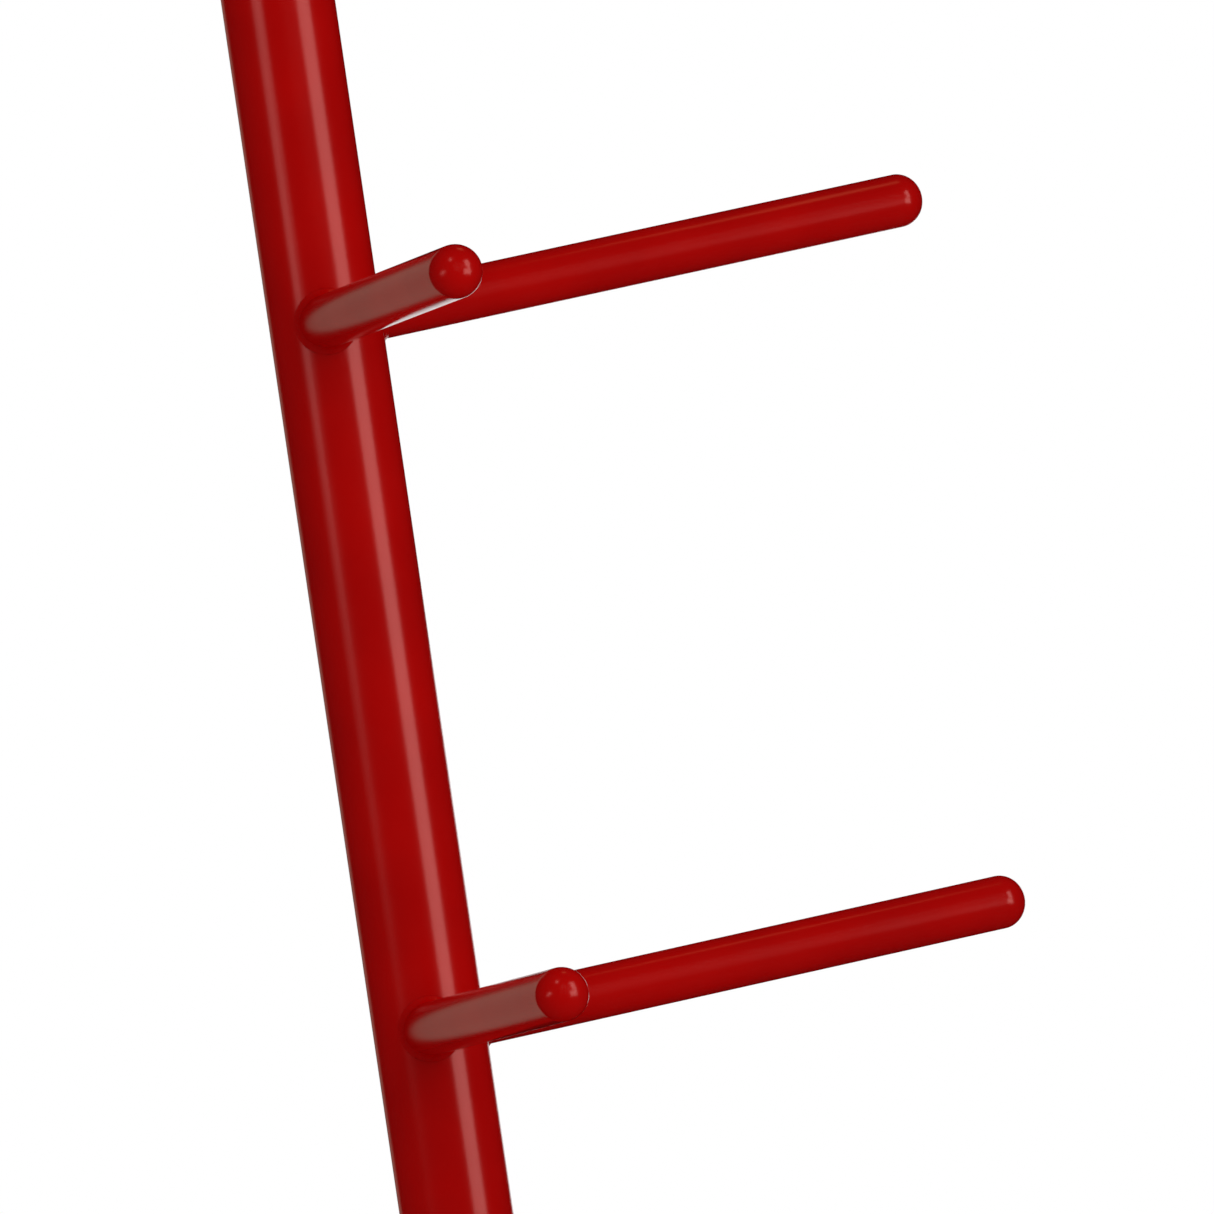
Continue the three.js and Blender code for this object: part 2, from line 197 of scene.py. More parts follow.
def piece(name, skins, place, material, slot, *nodes, sharp=35):
    """Joins skins into one mesh at its place, paints it and lets it stand for its CAD nodes."""
    body = bmesh.new()
    for points, faces in skins:
        verts = [body.verts.new(place @ Vector(point)) for point in points]
        for face in faces:
            body.faces.new([verts[i] for i in face])
    bmesh.ops.remove_doubles(body, verts=body.verts, dist=0.001 * MM)
    bmesh.ops.recalc_face_normals(body, faces=body.faces)
    mesh = bpy.data.meshes.new(name)
    body.to_mesh(mesh)
    body.free()
    mesh.shade_smooth()
    mesh.set_sharp_from_angle(angle=math.radians(sharp))
    mesh.materials.append(material)
    made = bpy.data.objects.new(name, mesh)
    bpy.context.scene.collection.objects.link(made)
    made.modifiers.new("even_shading", "WEIGHTED_NORMAL").keep_sharp = True
    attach(made, "root")
    if nodes:
        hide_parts(*nodes)
    return made


beam_low, beam_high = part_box("base_beam_long")
BEAM_AXIS = (beam_low.z + beam_high.z) / 2
BEAM_REACH = beam_high.x * math.sqrt(2) - BEAM_SIDE / 2


def beam_place(turn, start):
    """Where something made along +Z goes to lie on the line of a beam, at a distance from the middle."""
    level = Matrix.Translation((0, 0, BEAM_AXIS)) @ Matrix.Rotation(math.radians(turn), 4, "Z")
    return level @ Matrix.Translation((start, 0, 0)) @ Matrix.Rotation(math.pi / 2, 4, "Y")


powder_coat = gloss_powder_coat()
beam_outline = square(BEAM_SIDE, BEAM_CORNER, steps=10)
beam_bore = square(BEAM_SIDE - 2 * BEAM_WALL, BEAM_CORNER - BEAM_WALL)

for node_name, turn in BEAM_TURNS.items():
    start = -BEAM_REACH if node_name == "base_beam_long" else BEAM_SIDE / 2
    tube = slab(beam_outline, [beam_bore], BEAM_REACH - start, SAWN_EDGE)
    piece(f"{node_name}_tube", tube, beam_place(turn, start), powder_coat, "red_enamel", node_name)

# ---- Hub plate ----
# The lower plate of the bolted joint: 10 mm steel, cut by laser with four bolt holes and welded down on the
# cross.

PLATE_SIDE = 210 * MM
PLATE_CORNER = 14 * MM
CUT_EDGE = 0.8 * MM
BOLT_CIRCLE = 82 * MM
BOLT_HOLE = 13.5 * MM
BOLT_PLACES = {"front": (0, -1), "right": (1, 0), "back": (0, 1), "left": (-1, 0)}

plate_outline = square(PLATE_SIDE, PLATE_CORNER, steps=10)
bolt_holes = [circle(BOLT_HOLE / 2, x * BOLT_CIRCLE, y * BOLT_CIRCLE, 32) for x, y in BOLT_PLACES.values()]
hub_low, hub_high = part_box("hub_plate")
hub = slab(plate_outline, bolt_holes, hub_high.z - hub_low.z, CUT_EDGE)
piece("hub_plate_cut", hub, Matrix.Translation((0, 0, hub_low.z)), powder_coat, "red_enamel", "hub_plate")

# ---- Base weld seams ----
# Runs of MIG weld that hold the cross together and the hub plate down on it. They stay as laid, so each run
# has the small even ripples of the welder's hand, under the same coat.

BASE_WELD = 5 * MM
BASE_WELD_CROWN = 0.4 * MM
WELD_STEP = 0.6 * MM
RIPPLE_PITCH = 3.2 * MM
RIPPLE_HEIGHT = 0.12 * MM
WELD_SINK = 0.15 * MM


def weld_run(places, leg, crown, closed=False):
    """A weld along places of (corner, up the one side, out along the other side). crown is how far it stands
    proud of flat, or less than nothing where it is hollow."""
    travel = [0.0]
    for (here, _, _), (there, _, _) in zip(places, places[1:]):
        travel.append(travel[-1] + (there - here).length)
    whole = travel[-1]
    if closed:
        whole += (places[0][0] - places[-1][0]).length
    ripples = max(1, round(whole / RIPPLE_PITCH))
    rings = []
    for (corner, up, out), reached in zip(places, travel):
        to_end = 1 if closed else min(1, reached / leg, (whole - reached) / leg)
        size = leg * math.sqrt(max(0.04, 1 - (1 - to_end) ** 2))
        facing = (up + out).normalized()
        ring = [corner - facing * WELD_SINK]
        for step in range(9):
            across = step / 8
            lag = (2 * across - 1) ** 2 / 2
            ripple = math.cos(2 * math.pi * (ripples * reached / whole + lag))
            proud = crown * size / leg + RIPPLE_HEIGHT * ripple
            face = up.lerp(out, across) * size + corner
            ring.append(face + facing * (proud * math.sin(math.pi * across) - WELD_SINK))
        rings.append(ring)
    if not closed:
        rings = [[places[0][0]]] + rings + [[places[-1][0]]]
    return skin(rings, closed)


def straight(start, end, up, out):
    """Weld places along a straight seam."""
    count = math.ceil((end - start).length / WELD_STEP)
    return [(start.lerp(end, step / count), up, out) for step in range(count + 1)]


seams = []
beam_flat = BEAM_SIDE / 2 - BEAM_CORNER
for turn in (-45, 135):
    across = Matrix.Rotation(math.radians(turn), 3, "Z")
    for side in (-1, 1):
        foot = across @ Vector((BEAM_SIDE / 2, side * BEAM_SIDE / 2, 0))
        low, high = (foot + Vector((0, 0, BEAM_AXIS + end * beam_flat)) for end in (-1, 1))
        outward = across @ Vector((0, side, 0))
        places = straight(low, high, across @ Vector((1, 0, 0)), outward)
        seams.append(weld_run(places, BASE_WELD, BASE_WELD_CROWN))

plate_rim = square(PLATE_SIDE, PLATE_CORNER, steps=60)
for turn in (45, 135, 225, 315):
    away = Vector((math.cos(math.radians(turn)), math.sin(math.radians(turn))))
    near = [point for point in plate_rim if abs(point.cross(away)) < beam_flat and point.dot(away) > 0]
    rim = sorted(near, key=lambda point: point.cross(away))
    beyond, aside = away * (PLATE_SIDE / math.sqrt(2) - beam_flat), away.orthogonal() * beam_flat
    ends = sorted((beyond + aside, beyond - aside), key=lambda point: point.cross(away))
    path = [ends[0]] + rim + [ends[1]]
    places = []
    for first, second in zip(path, path[1:]):
        sideways = (second - first).normalized()
        outward = Vector((-sideways.y, sideways.x, 0))
        outward = outward if outward.xy.dot(away) > 0 else -outward
        start, end = (Vector((point.x, point.y, hub_low.z)) for point in (first, second))
        places += straight(start, end, Vector((0, 0, 1)), outward)[:-1]
    seams.append(weld_run(places, BASE_WELD, BASE_WELD_CROWN))

piece("base_weld_seams", seams, Matrix(), powder_coat, "red_enamel", sharp=60)

# ---- Beam end plugs ----
# Plastic plugs, injection moulded in black polyethylene and knocked into the open ends of the beams.
# The face is slightly crowned with a soft rim, and has the fine texture of a spark-eroded mould.

PLUG_PLATE = 4 * MM
PLUG_CROWN = 0.7 * MM
PLUG_RIM = 1.6 * MM
PLUG_DEPTH = 18 * MM
PLUG_WALL = 2.5 * MM
PLUG_CLEARANCE = 0.3 * MM
PLUG_LEAD_IN = 0.6 * MM
PLUG_LEAD_LENGTH = 2 * MM
CORNER_NAMES = {"front_left": 225, "front_right": -45, "back_right": 45, "back_left": 135}


def moulded_polyethylene():
    """Black polyethylene out of a spark-eroded mould: a waxy, even black with a half-dull sheen."""
    material = empty_material("black_moulded_polyethylene")
    tree = material.node_tree
    place = add(tree, "ShaderNodeTexCoord").outputs["Object"]
    flow = add(tree, "ShaderNodeTexNoise", Vector=place, Scale=1 / (15 * MM), Detail=2.0)
    tone = add(tree, "ShaderNodeValToRGB", Fac=flow.outputs["Fac"])
    dark, pale = tone.color_ramp.elements
    dark.position, dark.color = 0.3, linear("141416")
    pale.position, pale.color = 0.75, linear("202124")
    grain = add(tree, "ShaderNodeTexNoise", Vector=place, Scale=1 / (0.9 * MM), Detail=2.0)
    relief = add(tree, "ShaderNodeBump", Height=grain.outputs["Fac"], Strength=0.35, Distance=0.08 * MM)
    dullness = add(tree, "ShaderNodeMapRange", Value=grain.outputs["Fac"], To_Min=0.38, To_Max=0.56)
    surface = add(
        tree,
        "ShaderNodeBsdfPrincipled",
        Base_Color=tone.outputs["Color"],
        Roughness=dullness.outputs["Result"],
        Normal=relief.outputs["Normal"],
        IOR=1.51,
    )
    add(tree, "ShaderNodeOutputMaterial", Surface=surface.outputs["BSDF"])
    return material


polyethylene = moulded_polyethylene()
spigot = BEAM_SIDE - 2 * BEAM_WALL - 2 * PLUG_CLEARANCE
spigot_corner = BEAM_CORNER - BEAM_WALL
plug_face = square(BEAM_SIDE, BEAM_CORNER, steps=10)
outside = square(spigot, spigot_corner, steps=10)
inside = square(spigot - 2 * PLUG_WALL, spigot_corner - PLUG_WALL, steps=10)
rings = [[Vector((0, 0, 0))], level_ring(inside, 0), level_ring(inside, -PLUG_DEPTH)]
rings += [level_ring(inset(outside, PLUG_LEAD_IN), -PLUG_DEPTH)]
rings += [level_ring(outside, -PLUG_DEPTH + PLUG_LEAD_LENGTH)]
rings += [level_ring(outside, 0), level_ring(plug_face, 0)]
for turn in (math.radians(15 * step) for step in range(7)):
    drop, pulled_in = PLUG_RIM * (1 - math.sin(turn)), PLUG_RIM * (1 - math.cos(turn))
    rings.append(level_ring(inset(plug_face, pulled_in), PLUG_PLATE - drop))
for share in (0.75, 0.5, 0.25):
    crowned = [point * share for point in inset(plug_face, PLUG_RIM)]
    rings.append(level_ring(crowned, PLUG_PLATE + PLUG_CROWN * (1 - share**2)))
rings.append([Vector((0, 0, PLUG_PLATE + PLUG_CROWN))])

for corner_name, turn in CORNER_NAMES.items():
    place = beam_place(turn, BEAM_REACH)
    plug = [skin(rings)]
    piece(f"end_plug_{corner_name}", plug, place, polyethylene, "plug_plastic", f"beam_plug_{corner_name}")

# ---- Feet ----
# Round feet, moulded in black rubber with a sunk seat for the screw and two shallow grooves round the side.
# One stands under each end of the beams.

FOOT_RADIUS = 26 * MM
FOOT_TOP_RADIUS = 23 * MM
FOOT_HEIGHT = 18 * MM
FOOT_RECESS_RADIUS = 10 * MM
FOOT_RECESS_DEPTH = 9 * MM
FOOT_BORE_RADIUS = 4.4 * MM
FOOT_GROOVES = (7 * MM, 11 * MM)
GROOVE_HALF_WIDTH = 0.9 * MM
GROOVE_DEPTH = 0.8 * MM


def moulded_rubber():
    """Black natural rubber from a steel mould: nearly matt, a little greyed by dust and bloom."""
    material = empty_material("black_moulded_rubber")
    tree = material.node_tree
    place = add(tree, "ShaderNodeTexCoord").outputs["Object"]
    bloom = add(tree, "ShaderNodeTexNoise", Vector=place, Scale=1 / (12 * MM), Detail=5.0)
    tone = add(tree, "ShaderNodeValToRGB", Fac=bloom.outputs["Fac"])
    dark, pale = tone.color_ramp.elements
    dark.position, dark.color = 0.35, linear("161616")
    pale.position, pale.color = 0.8, linear("2c2b2a")
    grain = add(tree, "ShaderNodeTexNoise", Vector=place, Scale=1 / (1.2 * MM), Detail=3.0)
    relief = add(tree, "ShaderNodeBump", Height=grain.outputs["Fac"], Strength=0.5, Distance=0.15 * MM)
    dullness = add(tree, "ShaderNodeMapRange", Value=bloom.outputs["Fac"], To_Min=0.68, To_Max=0.9)
    surface = add(
        tree,
        "ShaderNodeBsdfPrincipled",
        Base_Color=tone.outputs["Color"],
        Roughness=dullness.outputs["Result"],
        Normal=relief.outputs["Normal"],
        IOR=1.52,
    )
    add(tree, "ShaderNodeOutputMaterial", Surface=surface.outputs["BSDF"])
    return material


def turned(profile, steps=64):
    """A shape turned about Z. profile holds (radius, height) points, and a radius of 0 closes an end."""
    rings = []
    for radius, height in profile:
        rings.append(level_ring(circle(radius, steps=steps), height) if radius else [Vector((0, 0, height))])
    return skin(rings, closed=profile[0][0] > 0)


rubber = moulded_rubber()
foot_side = [(FOOT_RADIUS, 0, 2 * MM)]
for height in FOOT_GROOVES:
    radius = FOOT_RADIUS + (FOOT_TOP_RADIUS - FOOT_RADIUS) * height / FOOT_HEIGHT
    foot_side.append((radius, height - GROOVE_HALF_WIDTH, 0.3 * MM))
    foot_side.append((radius - GROOVE_DEPTH, height, 0.5 * MM))
    foot_side.append((radius, height + GROOVE_HALF_WIDTH, 0.3 * MM))
foot_profile = filleted(
    (FOOT_BORE_RADIUS, FOOT_RECESS_DEPTH, 0),
    (FOOT_RECESS_RADIUS, FOOT_RECESS_DEPTH, 1 * MM),
    (FOOT_RECESS_RADIUS, 0, 1 * MM),
    *foot_side,
    (FOOT_TOP_RADIUS, FOOT_HEIGHT, 1.5 * MM),
    (FOOT_BORE_RADIUS, FOOT_HEIGHT, 0),
    steps=4,
)

foot_places = {}
for corner_name in CORNER_NAMES:
    low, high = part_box(f"foot_{corner_name}")
    foot_places[corner_name] = Matrix.Translation(((low.x + high.x) / 2, (low.y + high.y) / 2, 0))
    place = foot_places[corner_name]
    foot = [turned(foot_profile)]
    piece(f"rubber_{corner_name}", foot, place, rubber, "foot_rubber", f"foot_{corner_name}")

# ---- Foot screws and nuts ----
# M8 button-head screws with a hexagon socket hold the feet from below, each in a nut inside the beam. Both
# are zinc plated steel. The nuts can't be seen once the plugs are in, so they stay as the frame has them.

SCREW_RADIUS = 4 * MM
SCREW_HEAD_RADIUS = 8 * MM
SCREW_HEAD_HEIGHT = 5 * MM
SOCKET_FLATS = 5 * MM
SOCKET_DEPTH = 2.6 * MM
SOCKET_BEVEL = 0.1 * MM
BUTTON_FLAT_RADIUS = 4.2 * MM
BUTTON_RIM = 0.8 * MM


def bright_zinc():
    """Bright zinc plate with a clear passivate: pale grey metal, half-dull, with faint cloudy tones."""
    material = empty_material("bright_zinc_plate")
    tree = material.node_tree
    place = add(tree, "ShaderNodeTexCoord").outputs["Object"]
    cloud = add(tree, "ShaderNodeTexNoise", Vector=place, Scale=1 / (7 * MM), Detail=4.0)
    tone = add(tree, "ShaderNodeValToRGB", Fac=cloud.outputs["Fac"])
    dark, pale = tone.color_ramp.elements
    dark.position, dark.color = 0.32, linear("a9adb3")
    pale.position, pale.color = 0.7, linear("cfd2d4")
    dullness = add(tree, "ShaderNodeMapRange", Value=cloud.outputs["Fac"], To_Min=0.34, To_Max=0.52)
    grain = add(tree, "ShaderNodeTexNoise", Vector=place, Scale=1 / (0.5 * MM), Detail=2.0)
    relief = add(tree, "ShaderNodeBump", Height=grain.outputs["Fac"], Strength=0.2, Distance=0.03 * MM)
    surface = add(
        tree,
        "ShaderNodeBsdfPrincipled",
        Base_Color=tone.outputs["Color"],
        Roughness=dullness.outputs["Result"],
        Normal=relief.outputs["Normal"],
        Metallic=1.0,
    )
    add(tree, "ShaderNodeOutputMaterial", Surface=surface.outputs["BSDF"])
    return material


def hexagon(flats, steps=48):
    """A hexagon's outline with the corners on whole steps."""
    points = []
    for step in range(steps):
        turn = 2 * math.pi * step / steps
        to_flat = turn % (math.pi / 3) - math.pi / 6
        points.append(Vector((math.cos(turn), math.sin(turn))) * flats / 2 / math.cos(to_flat))
    return points


zinc = bright_zinc()
screw_low, screw_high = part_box("foot_screw_front_left")
head_top = screw_low.z + SCREW_HEAD_HEIGHT
rings = [[Vector((0, 0, screw_low.z + SOCKET_DEPTH))]]
rings += [level_ring(hexagon(SOCKET_FLATS), screw_low.z + SOCKET_DEPTH)]
rings += [level_ring(hexagon(SOCKET_FLATS), screw_low.z + SOCKET_BEVEL)]
for turn in (math.radians(15 * step) for step in range(7)):
    radius = BUTTON_FLAT_RADIUS + (SCREW_HEAD_RADIUS - BUTTON_FLAT_RADIUS) * math.sin(turn)
    height = screw_low.z + (SCREW_HEAD_HEIGHT - BUTTON_RIM) * (1 - math.cos(turn))
    rings.append(level_ring(circle(radius), height))
for radius, height in ((SCREW_HEAD_RADIUS, head_top), (SCREW_RADIUS, head_top), (SCREW_RADIUS, screw_high.z)):
    rings.append(level_ring(circle(radius), height))
rings.append([Vector((0, 0, screw_high.z))])
screw = [skin(rings)]

for corner_name, place in foot_places.items():
    piece(f"button_screw_{corner_name}", screw, place, zinc, "zinc_plate", f"foot_screw_{corner_name}")
    nut_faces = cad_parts[f"foot_nut_{corner_name}"].data.materials
    nut_faces.clear()
    nut_faces.append(zinc)

# ---- Post ----
# Round steel tube, 101.6 mm across. It leans back by ten degrees, so its foot is sawn at a slant to stand
# level.

POST_RADIUS = 50.8 * MM
POST_WALL = 3.6 * MM
POST_LEAN = math.radians(10)
POST_LENGTH = 1900 * MM
ROUND_STEPS = 144

post_low, post_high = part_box("post_tube")
flange_low, flange_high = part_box("post_flange")
LEANING = Matrix.Translation((0, 0, post_low.z)) @ Matrix.Rotation(-POST_LEAN, 4, "X")
JOINT_GAP = post_low.z - flange_high.z


def flange_seat(radius, angle):
    """Height of the flange's top along the leaning post, at a radius and an angle around it."""
    return radius * math.sin(angle) * math.tan(POST_LEAN) - JOINT_GAP


def tube_wall(outer, inner, foot_at, top, steps):
    """An open tube about Z. foot_at gives the height of the surface that its foot is cut to."""
    angles = [2 * math.pi * step / steps for step in range(steps)]
    corners = [(inner, False), (outer, False), (outer, True), (inner, True)]
    rings = []
    for radius, at_top in corners:
        heights = [top if at_top else foot_at(radius, angle) for angle in angles]
        rings.append([Vector((p.x, p.y, z)) for p, z in zip(circle(radius, steps=steps), heights)])
    return skin(rings, closed=True)


post = tube_wall(POST_RADIUS, POST_RADIUS - POST_WALL, flange_seat, POST_LENGTH, ROUND_STEPS)
piece("leaning_post", [post], LEANING, powder_coat, "red_enamel", "post_tube")

# ---- Post flange ----
# The upper plate of the bolted joint: 12 mm steel, cut by laser with the hub plate's bolt holes, and with a
# drain hole under the post.

DRAIN_RADIUS = 16 * MM

flange = slab(plate_outline, bolt_holes + [circle(DRAIN_RADIUS)], flange_high.z - flange_low.z, CUT_EDGE)
flange_place = Matrix.Translation((0, 0, flange_low.z))
piece("post_flange_cut", flange, flange_place, powder_coat, "red_enamel", "post_flange")

# ---- Post weld ----
# A fillet weld all round the foot of the post, on the flange. It is laid in one pass, a little proud, and
# coated with the rest.

POST_WELD = 7 * MM
POST_WELD_CROWN = 0.2 * MM


def ring_weld(radius, leg, crown, seat_at):
    """A fillet weld around a tube about Z, on the surface whose height seat_at gives."""
    steps = round(2 * math.pi * radius / WELD_STEP)
    places = []
    for angle in (2 * math.pi * step / steps for step in range(steps)):
        ray = Vector((math.cos(angle), math.sin(angle), 0))
        corner = ray * radius + Vector((0, 0, seat_at(radius, angle)))
        toe = ray * (radius + leg) + Vector((0, 0, seat_at(radius + leg, angle)))
        places.append((corner, Vector((0, 0, 1)), (toe - corner).normalized()))
    return weld_run(places, leg, crown, closed=True)


post_weld = ring_weld(POST_RADIUS, POST_WELD, POST_WELD_CROWN, flange_seat)
piece("post_weld_run", [post_weld], LEANING, powder_coat, "red_enamel", "post_weld", sharp=60)

# ---- Gussets ----
# Four webs of 8 mm plate brace the post on its flange, above the beams. Each has a rounded notch that clears
# the post weld, and is welded on both sides.

GUSSET_THICKNESS = 8 * MM
GUSSET_HEIGHT = 105 * MM
GUSSET_FOOT = 128 * MM
GUSSET_TOP_WIDTH = 14 * MM
GUSSET_EDGE_HEIGHT = 12 * MM
GUSSET_NOTCH = 10.5 * MM
GUSSET_WELD = 5 * MM
GUSSET_WELD_CROWN = 0.3 * MM
GUSSET_WELD_FROM = GUSSET_NOTCH + 1 * MM
GUSSETS = {"front_left": -45, "front_right": 45, "back_right": 135, "back_left": 225}


def post_edge(azimuth, height):
    """How far the leaning post reaches from the middle, at an azimuth from the front and a height."""
    narrow = math.cos(POST_LEAN) ** 2
    shift = height * math.tan(POST_LEAN)
    a = math.sin(azimuth) ** 2 + math.cos(azimuth) ** 2 * narrow
    b = math.cos(azimuth) * shift * narrow
    c = shift**2 * narrow - POST_RADIUS**2
    return (-b + math.sqrt(b**2 - a * c)) / a


for gusset_name, degrees in GUSSETS.items():
    azimuth = math.radians(degrees)
    top_width = POST_RADIUS - GUSSET_HEIGHT * math.tan(POST_LEAN) * math.cos(azimuth) + GUSSET_TOP_WIDTH
    root = post_edge(azimuth, 0)
    notch = [math.radians(90 - 10 * step) for step in range(10)]
    outline = filleted(
        *[(root + GUSSET_NOTCH * math.cos(turn), GUSSET_NOTCH * math.sin(turn), 0) for turn in notch],
        (GUSSET_FOOT, 0, 0),
        (GUSSET_FOOT, GUSSET_EDGE_HEIGHT, 3 * MM),
        (top_width, GUSSET_HEIGHT, 4 * MM),
        (post_edge(azimuth, GUSSET_HEIGHT), GUSSET_HEIGHT, 0),
        (post_edge(azimuth, 2 * GUSSET_NOTCH), 2 * GUSSET_NOTCH, 0),
    )
    away = Vector((math.sin(azimuth), -math.cos(azimuth), 0))
    above = Vector((0, 0, 1))
    place = Matrix((away, above, away.cross(above))).transposed().to_4x4()
    place.translation = Vector((0, 0, flange_high.z)) - away.cross(above) * GUSSET_THICKNESS / 2
    plate = slab(outline, [], GUSSET_THICKNESS, CUT_EDGE)
    piece(f"gusset_web_{gusset_name}", plate, place, powder_coat, "red_enamel", f"gusset_{gusset_name}")

    runs = []
    for side, z in ((-1, 0), (1, GUSSET_THICKNESS)):
        level, out = Vector((0, 1, 0)), Vector((0, 0, side))
        start, end = Vector((root + GUSSET_WELD_FROM, 0, z)), Vector((GUSSET_FOOT, 0, z))
        runs.append(weld_run(straight(start, end, level, out), GUSSET_WELD, GUSSET_WELD_CROWN))
        ends = (GUSSET_WELD_FROM, GUSSET_HEIGHT)
        start, end = (Vector((post_edge(azimuth, height), height, z)) for height in ends)
        runs.append(weld_run(straight(start, end, Vector((1, 0, 0)), out), GUSSET_WELD, GUSSET_WELD_CROWN))
    piece(f"gusset_weld_runs_{gusset_name}", runs, place, powder_coat, "red_enamel", sharp=60)

# ---- Post cap ----
# A pressed steel dome closes the top of the post. Its spigot goes inside the tube, and the seam is welded and
# ground flush before coating.

CAP_WALL = 3 * MM
CAP_SPIGOT = 12 * MM
CAP_CLEARANCE = 0.3 * MM
CAP_SKIRT = 1.5 * MM
POST_CAP_RISE = 26 * MM


def domed_cap(radius, wall, rise, steps):
    """A hollow dome on the end of a tube that stops at height 0, with its spigot inside the tube."""
    fit = radius - wall - CAP_CLEARANCE
    bore = fit - CAP_WALL
    quarter = [math.radians(3 * step) for step in range(31)]
    inner = [(bore * math.sin(turn), (rise - CAP_WALL) * math.cos(turn)) for turn in quarter]
    outer = [(radius * math.cos(turn), CAP_SKIRT + (rise - CAP_SKIRT) * math.sin(turn)) for turn in quarter]
    spigot = [(bore, -CAP_SPIGOT), (fit, -CAP_SPIGOT), (fit, 0)]
    profile = [(0, rise - CAP_WALL)] + inner[1:] + spigot + [(radius, 0)] + outer[:-1] + [(0, rise)]
    return turned(profile, steps)


post_cap = domed_cap(POST_RADIUS, POST_WALL, POST_CAP_RISE, ROUND_STEPS)
cap_place = LEANING @ Matrix.Translation((0, 0, POST_LENGTH))
piece("post_dome", [post_cap], cap_place, powder_coat, "red_enamel", "post_cap")

# ---- Arms ----
# Round steel tube, 48.3 mm across, coped to the post and welded all round: two arms at each of three levels,
# at 45 degrees to either side of the front and rising a little. A pressed dome closes each end.

ARM_RADIUS = 24.15 * MM
ARM_WALL = 3.2 * MM
ARM_REACH = 568 * MM
ARM_AZIMUTH = math.radians(45)
ARM_RISE = math.radians(3.6)
ARM_OFFSET = 10 * MM
ARM_WELD = 5.5 * MM
ARM_WELD_CROWN = -0.4 * MM
LOWEST_LEVEL = 540 * MM
LEVEL_SPACING = 640 * MM
LEVELS = ("lower", "middle", "upper")
ARM_STEPS = 96


def arm_frame(side, height):
    """The frame of an arm on the leaning post. Z runs along the arm. side is -1 for left and 1 for right."""
    azimuth = side * ARM_AZIMUTH
    flat, climb = math.cos(ARM_RISE), math.sin(ARM_RISE)
    along = Vector((math.sin(azimuth) * flat, -math.cos(azimuth) * flat, climb))
    sideways = Vector((math.cos(azimuth), math.sin(azimuth), 0)) * side
    made = Matrix((sideways, along.cross(sideways), along)).transposed().to_4x4()
    made.translation = sideways * ARM_OFFSET + Vector((0, 0, height))
    return made


def post_seat(arm):
    """Where along the arm each line of its wall meets the post."""
    along = arm.col[2].xyz

    def seat_at(radius, angle):
        start = (arm @ Vector((radius * math.cos(angle), radius * math.sin(angle), 0))).xy
        across = along.xy.dot(along.xy)
        toward = start.dot(along.xy)
        beyond = start.dot(start) - POST_RADIUS**2
        return (-toward + math.sqrt(toward**2 - across * beyond)) / across

    return seat_at


shoulder = ARM_REACH - ARM_RADIUS
dome = domed_cap(ARM_RADIUS, ARM_WALL, ARM_RADIUS, ARM_STEPS)
for side_name, side in (("left", -1), ("right", 1)):
    seat_at = post_seat(arm_frame(side, 0))
    tube = tube_wall(ARM_RADIUS, ARM_RADIUS - ARM_WALL, seat_at, shoulder, ARM_STEPS)
    run = ring_weld(ARM_RADIUS, ARM_WELD, ARM_WELD_CROWN, seat_at)
    for level, level_name in enumerate(LEVELS):
        place = LEANING @ arm_frame(side, LOWEST_LEVEL + level * LEVEL_SPACING)
        end = place @ Matrix.Translation((0, 0, shoulder))
        which = f"{level_name}_{side_name}"
        piece(f"arm_{which}", [tube], place, powder_coat, "red_enamel", f"arm_tube_{which}")
        piece(f"arm_dome_{which}", [dome], end, powder_coat, "red_enamel", f"arm_cap_{which}")
        piece(f"arm_weld_run_{which}", [run], place, powder_coat, "red_enamel", f"arm_weld_{which}", sharp=60)

# ---- Flange bolts, washers and nuts ----
# Four M12 hexagon bolts clamp the flange to the hub plate, each with a washer on top and a nut below. They
# are put in after the coating and left in their zinc plate.

BOLT_RADIUS = 6 * MM
BOLT_FLATS = 18 * MM
THREAD_PITCH = 1.75 * MM
THREAD_DEPTH = 1.0 * MM
WASHER_RADIUS = 12 * MM
WASHER_BORE = 6.5 * MM
CHAMFER_SLOPE = math.tan(math.radians(30))
CHAMFER_CIRCLE = 0.96
THREAD_STEPS = 48


def hex_rings(flats, low, high, low_chamfer):
    """Rings up the side of a hexagon nut or head, chamfered at the top and, if asked, at the bottom."""
    outline = hexagon(flats)
    crown = flats / 2 * CHAMFER_CIRCLE
    rounded = [max(0.0, point.length - crown) * CHAMFER_SLOPE for point in outline]
    bottom = [Vector((p.x, p.y, low + (drop if low_chamfer else 0))) for p, drop in zip(outline, rounded)]
    top = [Vector((p.x, p.y, high - drop)) for p, drop in zip(outline, rounded)]
    return [level_ring(circle(crown), low), bottom, top, level_ring(circle(crown), high)]


def threaded(radius, low, high):
    """Rings down a thread, as a helix of steps around each ring."""
    rings = []
    count = math.ceil((high - low) / THREAD_PITCH * 10)
    for step in range(count + 1):
        height = high + (low - high) * step / count
        end = min(1, (height - low) / THREAD_PITCH, (high - height) / THREAD_PITCH)
        ring = []
        for i, point in enumerate(circle(1, steps=THREAD_STEPS)):
            turn = (height / THREAD_PITCH - i / THREAD_STEPS) % 1
            depth = THREAD_DEPTH * (1 - abs(2 * turn - 1)) * end + 0.4 * THREAD_DEPTH * (1 - end)
            ring.append(Vector((point.x, point.y, 0)) * (radius - depth) + Vector((0, 0, height)))
        rings.append(ring)
    return rings


